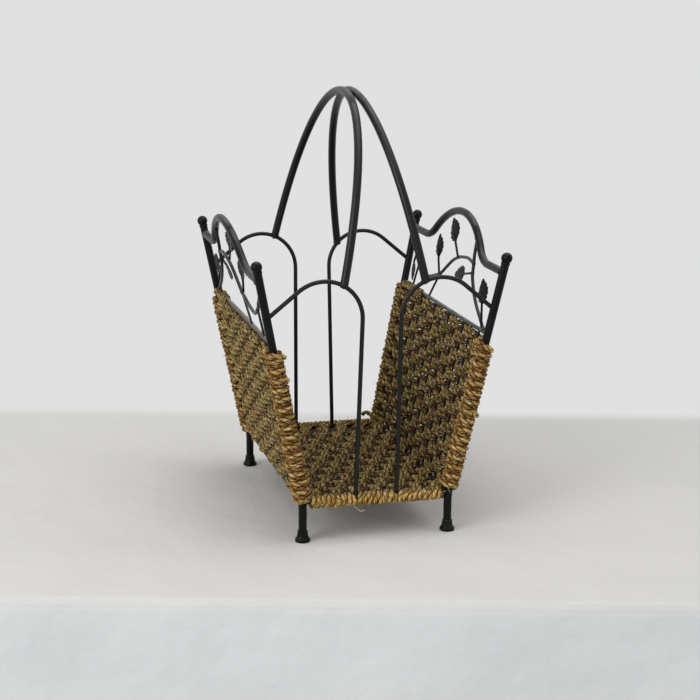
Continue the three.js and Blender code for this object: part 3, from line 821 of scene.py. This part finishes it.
# Seagrass cord
# The cord is two plies of dried seagrass twisted together, 5 to 6 mm thick. It is olive and
# brown where it lies open, darker with painted shade on its inner faces and in the hollows of the
# weave, and golden to rust where it is bent round the frame: partly its own colour, partly painted
# light on the windings that face the front, and painted shade on the recessed turns, the loops
# behind the windings and the back.
cord_lay = 0.021
cord_step = 0.0015
ply_radius = 0.00235
ply_shift = 0.0009
ply_waist = 0.00205
ply_crown_turn = math.radians(80.0)
fibre_depth = 0.0006

# Where the colours change, as distances past the plane of the side, the plane of the end, or the
# middle of the basket
inner_face = (-0.003, 0.002)
hollow_reach = (0.0008, 0.0042)
tucked_reach = (0.002, 0.005)
tucked_from = (-0.0125, -0.0105)
tucked_to = (-0.006, -0.003)
sunk_from = (-0.014, -0.010)
back_from = (0.0, 0.02)

open_colours = [
    (0.32, (0.075, 0.026, 0.010)), (0.41, (0.24, 0.125, 0.05)), (0.47, (0.43, 0.285, 0.11)),
    (0.53, (0.24, 0.185, 0.038)), (0.60, (0.51, 0.36, 0.175)), (0.67, (0.24, 0.115, 0.066)),
    (0.76, (0.60, 0.45, 0.265)),
]
# Gold of the windings: partly the grass's own colour, partly painted light where they face the front
gold_and_lit_colours = [
    (0.32, (0.36, 0.12, 0.018)), (0.41, (0.54, 0.29, 0.07)), (0.49, (0.71, 0.48, 0.18)),
    (0.57, (0.50, 0.39, 0.11)), (0.64, (0.80, 0.60, 0.29)), (0.75, (0.58, 0.35, 0.10)),
]
# Painted shade in the hollows of the weave
hollow_shade_tint = (0.28, 0.17, 0.07)
# Painted shade on the recessed turn of each winding
sunk_shade_tint = (0.46, 0.27, 0.1)
# Painted shade on the loops that turn back behind the windings
tucked_loop_shade_tint = (0.3, 0.22, 0.14)
# Part of the painted light on the floor's windings
floor_lit_gold_tint = (0.88, 0.77, 0.55)
dark_fibre = (0.01, 0.003, 0.0)
pale_fibre = (0.8, 0.68, 0.44)
# Painted shade in the grooves between the plies
groove_shade = (0.012, 0.004, 0.0)


def seagrass_finish(name, of_floor, gold_from, gold_full, ragged_by, sunk_radius, raised_radius, inner_shade_tint):
    """Dried seagrass. It turns golden from gold_from to gold_full past the legs, give or take
    ragged_by: partly its own colour where it is bent, partly painted light on the windings that face
    the front, with less gold at the back as painted shade. There painted shade makes it rust brown
    within sunk_radius of the leg's axis, on the recessed turn, and it is golden outside
    raised_radius. inner_shade_tint is painted shade on what faces the magazines, and painted shade
    darkens the hollows."""
    grass = Finish(name)
    cord_places = grass.node("ShaderNodeUVMap", {"uv_map": "cord"}).outputs["UV"]
    around, along, _ = grass.parts(cord_places)
    x, y, z = grass.parts(grass.places)
    spin = (around - along * (1.0 / cord_lay)) * (2 * math.pi)
    fibres = grass.noise(1.0, 4.0, 0.65, grass.vector(spin.cosine() * 4.6, spin.sine() * 4.6, along * 190.0))
    which_ply = (around * (2 * math.pi)).cosine().between(-0.1, 0.1)
    strand = grass.noise(1.0, 2.0, 0.5, grass.vector(which_ply * 7.0, along * 30.0, 0.0))
    drift = grass.noise(1.0, 3.0, 0.6, grass.vector(3.0, along * 9.0, 0.0))
    groove = abs((around * (2 * math.pi)).cosine()).between(0.1, 0.66)
    above_bend = z - bend_height
    past_side = abs(x) - leg_half_width - above_bend * lean_x
    past_end = abs(y) - leg_half_depth - above_bend * lean_y
    inside = 1.0 - past_side.between(*inner_face)
    # Painted shade at the back, where the windings get less gold
    back_shade = y.between(*back_from)
    # Painted shade on the cords that lie in the hollows, between the front and the back of the sheet
    hollow = 1.0 - abs(above_bend if of_floor else past_side).between(*hollow_reach)
    # Painted shade on the loops behind the windings
    tucked_loop_shade = (1.0 - abs(past_side).between(*tucked_reach)) * past_end.between(*tucked_from) * (
        1.0 - past_end.between(*tucked_to))
    ragged_end = past_end + (drift - 0.5) * ragged_by
    # Partly the grass's own gold where it is bent, partly painted light on the windings that face the front,
    # and less at the back as painted shade
    wrapped_and_lit = ragged_end.between(gold_from, gold_full) * (1.0 - back_shade * (0.35 + 0.5 * inside))
    # Painted shade: the recessed turn round the post is darkened to rust brown
    sunk_shade = past_end.between(*sunk_from) * (1.0 - (past_side * past_side + past_end * past_end).between(
        sunk_radius ** 2, raised_radius ** 2))
    open_colour = grass.ramp(strand * 0.5 + drift * 0.5, open_colours)
    gold_and_lit_colour = grass.ramp(strand * 0.55 + drift * 0.45, gold_and_lit_colours)
    # Painted shade: the faces that face the magazines are darker
    shaded_open_colour = grass.mix(inside, open_colour, inner_shade_tint, "MULTIPLY")
    shaded_open_colour = grass.mix(hollow, shaded_open_colour, hollow_shade_tint, "MULTIPLY")
    lit_and_shaded_wound_colour = grass.mix(sunk_shade, gold_and_lit_colour, sunk_shade_tint, "MULTIPLY")
    laid_colour = grass.mix(wrapped_and_lit, shaded_open_colour, lit_and_shaded_wound_colour)
    if of_floor:
        laid_colour = grass.mix(wrapped_and_lit, laid_colour, floor_lit_gold_tint, "MULTIPLY")
    else:
        laid_colour = grass.mix(tucked_loop_shade, laid_colour, tucked_loop_shade_tint, "MULTIPLY")
    dark_streak = grass.mix(0.9, laid_colour, dark_fibre)
    pale_streak = grass.mix(0.55, laid_colour, pale_fibre)
    streaked = grass.mix(fibres.between(0.41, 0.51), dark_streak, laid_colour)
    streaked = grass.mix(fibres.between(0.53, 0.62), streaked, pale_streak)
    # Painted shade: the grooves between the plies are darkened almost to black
    cord_colour = grass.mix(groove, grass.mix(0.93, streaked, groove_shade), streaked)
    return grass.set(
        Base_Color=cord_colour,
        Roughness=0.75,
        Specular_IOR_Level=0.06,
        Normal=grass.bump(fibres * 0.5 + groove, fibre_depth, 0.8),
    )


# inner_shade_tint is painted shade on the faces of the sheets that face the magazines
grass_of_sides = seagrass_finish(
    "seagrass_of_sides", of_floor=False, gold_from=-0.026, gold_full=-0.014, ragged_by=0.05,
    sunk_radius=0.0098, raised_radius=0.0115, inner_shade_tint=(0.75, 0.70, 0.57))
grass_of_floor = seagrass_finish(
    "seagrass_of_floor", of_floor=True, gold_from=0.001, gold_full=0.0055, ragged_by=0.005,
    sunk_radius=0.0001, raised_radius=0.0002, inner_shade_tint=(0.89, 0.84, 0.73))

ply_outline = bpy.data.curves.new("ply_outline", "CURVE")
ply_outline.dimensions = "2D"
outline = ply_outline.splines.new("POLY")
crown_x = ply_shift + ply_radius * math.cos(ply_crown_turn)
crown_y = ply_radius * math.sin(ply_crown_turn)
half_outline = [(ply_shift + ply_radius, 0.0), (crown_x, crown_y), (0.0, ply_waist), (-crown_x, crown_y)]
outline_points = half_outline + [(-x, -y) for x, y in half_outline]
cord_sides = len(outline_points)
outline.points.add(cord_sides - 1)
outline.use_cyclic_u = True
for point, (x, y) in zip(outline.points, outline_points):
    point.co = (x, y, 0.0, 1.0)
ply_outline_object = bpy.data.objects.new("ply_outline", ply_outline)
scene.collection.objects.link(ply_outline_object)

cord_crease = math.radians(80.0)
uneven_share = 0.14
end_fullness = 0.55
run_between_cords = 1.0


def lay_cord(name, paths, finish, nodes, first_along, fullness):
    """Twists a cord along each path and keeps all of them as one piece. The UV map holds the share
    of the way round the cord and the run along it, which starts from first_along. fullness is
    the cord's thickness against ply_outline's."""
    form = bmesh.new()
    places = form.loops.layers.uv.new("cord")
    start_along = first_along
    for path in paths:
        data = bpy.data.curves.new(name, "CURVE")
        data.dimensions = "3D"
        data.twist_mode = "MINIMUM"
        data.bevel_mode = "OBJECT"
        data.bevel_object = ply_outline_object
        spline = data.splines.new("POLY")
        spline.points.add(len(path) - 1)
        run = 0.0
        runs = []
        for index, (point, at) in enumerate(zip(spline.points, path)):
            if index:
                run += (at - path[index - 1]).length
            runs.append(run)
            point.co = (*at, 1.0)
            point.tilt = (2 * math.pi * run / cord_lay) % (2 * math.pi)
            point.radius = fullness + uneven_share * noise.noise(Vector((run * 90.0, first_along, 0.0)))
        spline.points[0].radius = end_fullness
        spline.points[-1].radius = end_fullness
        drawn = bpy.data.objects.new(name, data)
        scene.collection.objects.link(drawn)
        bpy.context.view_layer.update()
        mesh = bpy.data.meshes.new_from_object(drawn.evaluated_get(bpy.context.evaluated_depsgraph_get()))
        bpy.data.objects.remove(drawn)
        mesh.materials.clear()
        first_vert = len(form.verts)
        first_face = len(form.faces)
        form.from_mesh(mesh)
        form.verts.ensure_lookup_table()
        form.faces.ensure_lookup_table()
        form.verts.index_update()
        for face in form.faces[first_face:]:
            turns = [(loop.vert.index - first_vert) % cord_sides for loop in face.loops]
            seam = max(turns) - min(turns) > cord_sides / 2
            for loop, turn in zip(face.loops, turns):
                ring = (loop.vert.index - first_vert) // cord_sides
                share = (turn + (cord_sides if seam and turn == 0 else 0)) / cord_sides
                loop[places].uv = (share, start_along + runs[min(ring, len(runs) - 1)])
        edges = {edge for vert in form.verts[first_vert:] for edge in vert.link_edges}
        bmesh.ops.holes_fill(form, edges=[edge for edge in edges if edge.is_boundary], sides=0)
        start_along += run + run_between_cords
    keep(name, form, finish, nodes, cord_crease)


# Woven sheets
# Each side and the floor are woven with one long cord. It goes out and back in pairs of rows
# that pass each warp wire on the same side, the next pair on the other side, and it is wound
# once and a half round the post or bar at the end of each row.
cord_radius = 0.0025
crossing_shift = wire_radius + cord_radius * 0.68
side_rows = 32
floor_outer_rows = 10
floor_inner_rows = 8
tucked_by = 0.0014
turn_steps = 64
climb_swing = 0.16
raise_width = 1.1
tuck_width = 0.7
row_sway = 0.0008
face_sway = 0.0005
turn_sway = 0.0003


def wobble(seed, along, size):
    """A small slow sway, the same on every run."""
    return size * noise.noise(Vector((seed * 5.31, along * 21.0, seed * 0.77)))


def eased(share):
    """A smooth rise from 0 to 1 with the share."""
    share = min(1.0, max(0.0, share))
    return share * share * (3 - 2 * share)


def weave(row_count, centre, normal, round_radius, raise_by, half_length):
    """The path of one cord through the whole sheet. centre gives a point of the sheet from its
    share of the way out, its row, a sway, and how far the rows are parted there."""
    path = []
    for row in range(row_count):
        outbound = row % 2 == 0
        pair_sign = 1 if (row // 2) % 2 == 0 else -1
        end_faces = {False: pair_sign, True: pair_sign if outbound else -pair_sign}
        knots = [(-1.0, end_faces[False] * round_radius)]
        for warp, share in enumerate(warp_shares, 1):
            knots.append((share, (1 if warp % 2 == 0 else -1) * pair_sign * crossing_shift))
        knots.append((1.0, end_faces[True] * round_radius))
        steps = int(2 * half_length / cord_step)
        row_points = []
        for step in range(steps + 1):
            share = 2 * step / steps - 1
            for (low, low_shift), (high, high_shift) in zip(knots[:-1], knots[1:]):
                if share <= high:
                    shift = low_shift + (high_shift - low_shift) * eased((share - low) / (high - low))
                    break
            shift += wobble(row + 50, share, face_sway)
            sway = wobble(row, share, row_sway)
            parting = 1.0 if end_faces[share > 0.0] > 0 else 0.0
            row_points.append(centre(share, row, sway, parting) + normal * shift)
        if not outbound:
            row_points.reverse()
        path += row_points
        if row == row_count - 1:
            break
        end = 1.0 if outbound else -1.0
        facing = normal * end_faces[outbound]
        across = (centre(end, row + 1, 0.0, 1.0) - centre(end, row, 0.0, 1.0)).normalized()
        outward = (centre(end, row, 0.0, 1.0) - centre(end * 0.98, row, 0.0, 1.0)).normalized()
        outward = (outward - across * outward.dot(across)).normalized()
        for step in range(1, turn_steps):
            angle = 3 * math.pi * step / turn_steps
            climb = eased((angle - math.pi) / math.pi)
            if math.pi < angle < 2 * math.pi:
                climb -= climb_swing * math.sin(2 * (angle - math.pi))
            radius = round_radius + raise_by * math.exp(-((angle - quarter) / raise_width) ** 2)
            radius -= tucked_by * math.exp(-((angle - 3 * quarter) / tuck_width) ** 2)
            through = facing * math.cos(angle) + outward * math.sin(angle)
            sway = wobble(row + 9, angle, turn_sway)
            parting = max(0.0, end_faces[outbound] * math.cos(angle))
            path.append(centre(end, row + climb, sway, parting) + through * radius)
    return path


foot_gap = 0.0002
top_gap = 0.0004
side_from = bend_height + rod_radius + foot_gap
side_to = panel_top - rod_radius - top_gap
middle_height = 0.14
side_raise = 0.0021
front_sag = 0.006
sag_from_share = 0.7
side_paths = {}
for side_name, side in side_names.items():
    def on_panel(share, row, sway, parting):
        """A point of the panel. Its upper rows sag towards the front post."""
        up_share = (row + 0.5) / side_rows
        sag = front_sag * up_share * eased((-side * share - sag_from_share) / (1.0 - sag_from_share))
        height = side_from + (side_to - side_from) * up_share - sag
        return on_side(side, share * half_depth(height), height + sway)

    side_paths[side_name] = weave(side_rows, on_panel, out_of_side(side), tube_radius + cord_radius,
                                  side_raise, half_depth(middle_height))
    lay_cord(f"woven_cord_{side_name}", [side_paths[side_name]], grass_of_sides, [f"woven_side_{side_name}"],
             first_along=20.0 + 15.0 * side, fullness=1.06)

rod_gap = 0.0006
under_leg = 0.0014
floor_raise = 0.0005
parted_from_share = 0.93
inner_edge = arch_foot - rod_radius - rod_gap
outer_edge = arch_foot + rod_radius + rod_gap
floor_edge = leg_half_width - tube_radius + under_leg
middle_edge = leg_half_width - rod_radius + rod_gap
parted_places = []
for low, high, rows in (
        (-floor_edge, -outer_edge, floor_outer_rows), (-inner_edge, inner_edge, floor_inner_rows),
        (outer_edge, floor_edge, floor_outer_rows)):
    parted_places += [low + (high - low) * (row + 0.5) / rows for row in range(rows)]
floor_rows = len(parted_places)


def on_floor(share, row, sway, parting):
    """A point of the floor. Its rows part round the arches' feet, and close up before them."""
    low_row = min(int(row), floor_rows - 2)
    parted = parted_places[low_row] + (parted_places[low_row + 1] - parted_places[low_row]) * (row - low_row)
    even_share = 2 * (row + 0.5) / floor_rows - 1
    at_end = floor_edge * even_share + (parted - floor_edge * even_share) * parting
    near_end = eased((abs(share) - parted_from_share) / (1.0 - parted_from_share))
    x = middle_edge * even_share + (at_end - middle_edge * even_share) * near_end
    return Vector((x + sway, share * leg_half_depth, bend_height))


floor_path = weave(floor_rows, on_floor, Vector((0.0, 0.0, 1.0)), rod_radius + cord_radius * 0.85,
                   floor_raise, leg_half_depth)
lay_cord("woven_cord_floor", [floor_path], grass_of_floor, ["woven_floor"], first_along=60.0, fullness=1.12)


# Loose ends and stray fibres
# The cords' cut ends stick out at the front posts and at a back corner of the floor, and three
# cords are laid over the back end of each top bar. The dry grass sheds short stiff fibres, most
# of them where it is bent round the frame.
laid_from = 0.007
laid_pitch = 0.0048
laid_wave = 0.0007
laid_dip = 0.0035
# How far aside and how high each cord is laid, the turn of its waves, and how much sooner it ends
laid_cords = ((-0.0043, -0.0004, 0.0, 0), (0.0, 0.0013, 1.9, 1), (0.0043, -0.0020, 3.6, 4))


def bend_through(points, steps=6):
    """A smooth path through a few points, each given as its three numbers."""
    return smooth_path([Vector(point) for point in points], steps)


side_ends = [
    bend_through([(0.1140, -0.1540, 0.2275), (0.1170, -0.1640, 0.2265), (0.1210, -0.1735, 0.2240),
                  (0.1262, -0.1750, 0.2205), (0.1292, -0.1730, 0.2185)]),
    bend_through([(-0.1300, -0.1705, 0.2255), (-0.1235, -0.1740, 0.2250), (-0.1160, -0.1725, 0.2235),
                  (-0.1110, -0.1700, 0.2215)]),
    bend_through([(-0.1180, -0.1680, 0.1990), (-0.1110, -0.1690, 0.1970), (-0.1065, -0.1680, 0.1950)]),
    bend_through([(0.1100, -0.1700, 0.1440), (0.1130, -0.1700, 0.1425), (0.1152, -0.1680, 0.1405)]),
]
floor_ends = [
    bend_through([(0.084, 0.146, 0.048), (0.0815, 0.153, 0.0535), (0.0765, 0.157, 0.0595),
                  (0.0705, 0.158, 0.0605), (0.0675, 0.1575, 0.0570)]),
]
for side, laid_steps in ((-1, 15), (1, 18)):
    for aside, rise, turn, sooner in laid_cords:
        laid = []
        last_step = laid_steps - 1 - sooner
        for step in range(last_step + 1):
            y = half_depth(panel_top) - laid_from - laid_pitch * step
            wave = laid_wave * math.sin(1.7 * step + turn)
            dip = laid_dip if step in (0, last_step) else 0.0
            laid.append((side * half_width(panel_top) + aside, y, panel_top + rise + wave - dip))
        side_ends.append(bend_through(laid, 4))
lay_cord("loose_ends_of_sides", side_ends, grass_of_sides, [], first_along=90.0, fullness=1.0)
lay_cord("loose_end_of_floor", floor_ends, grass_of_floor, [], first_along=95.0, fullness=1.0)
bpy.data.objects.remove(ply_outline_object)

fibre = Finish("stray_fibre")
fibre.set(
    Base_Color=fibre.ramp(fibre.noise(90.0, 2.0), [
        (0.3, (0.22, 0.12, 0.035)), (0.5, (0.5, 0.37, 0.14)), (0.7, (0.68, 0.6, 0.36))]),
    Roughness=0.7,
    Specular_IOR_Level=0.2,
)
fibre_sides = 3
fibre_radius = 0.0002
fibre_lengths = (0.003, 0.0085)
fibre_root = 0.0018
fibre_droop = 0.0007
fibre_count = 420
fibre_chance = random.Random(11)
bent_within = 0.004
hanging_radius = 0.0004
hanging_tip = 0.0002


def add_fibre(form, start, way, length, droop, radius):
    """One stray fibre, that leaves its cord at start and bends a little as it goes."""
    middle = start + way * length * 0.5 + droop * 0.25
    tip = start + way * length + droop
    draw_tube(form, [start, middle, tip], [radius, radius, radius * 0.35], fibre_sides)


for sheet_name, sheet_path in {**side_paths, "floor": floor_path}.items():
    form = bmesh.new()
    bent = [index for index, point in enumerate(sheet_path[:-1])
            if abs(point.y) > half_depth(point.z) - bent_within]
    for count in range(fibre_count):
        index = fibre_chance.choice(bent) if count % 2 else fibre_chance.randrange(len(sheet_path) - 1)
        along_cord = (sheet_path[index + 1] - sheet_path[index]).normalized()
        off = Vector([fibre_chance.gauss(0.0, 1.0) for _ in range(3)])
        off = (off - along_cord * off.dot(along_cord) * 0.6).normalized()
        length = fibre_chance.uniform(*fibre_lengths)
        start = sheet_path[index] + off * fibre_root
        droop = Vector([fibre_chance.gauss(0.0, fibre_droop) for _ in range(3)])
        way = (off + along_cord * fibre_chance.uniform(-1.2, 1.2)).normalized()
        add_fibre(form, start, way, length, droop, fibre_radius * fibre_chance.uniform(0.7, 1.5))
    if sheet_name == "floor":
        hanging = bend_through([(-0.028, -0.1565, 0.0405), (-0.0245, -0.1590, 0.0365),
                                (-0.0205, -0.1600, 0.0335), (-0.0150, -0.1600, 0.0345)], 4)
        draw_tube(form, hanging, [hanging_radius] * (len(hanging) - 1) + [hanging_tip], 6)
    keep(f"stray_fibres_{sheet_name}", form, fibre.material, [])
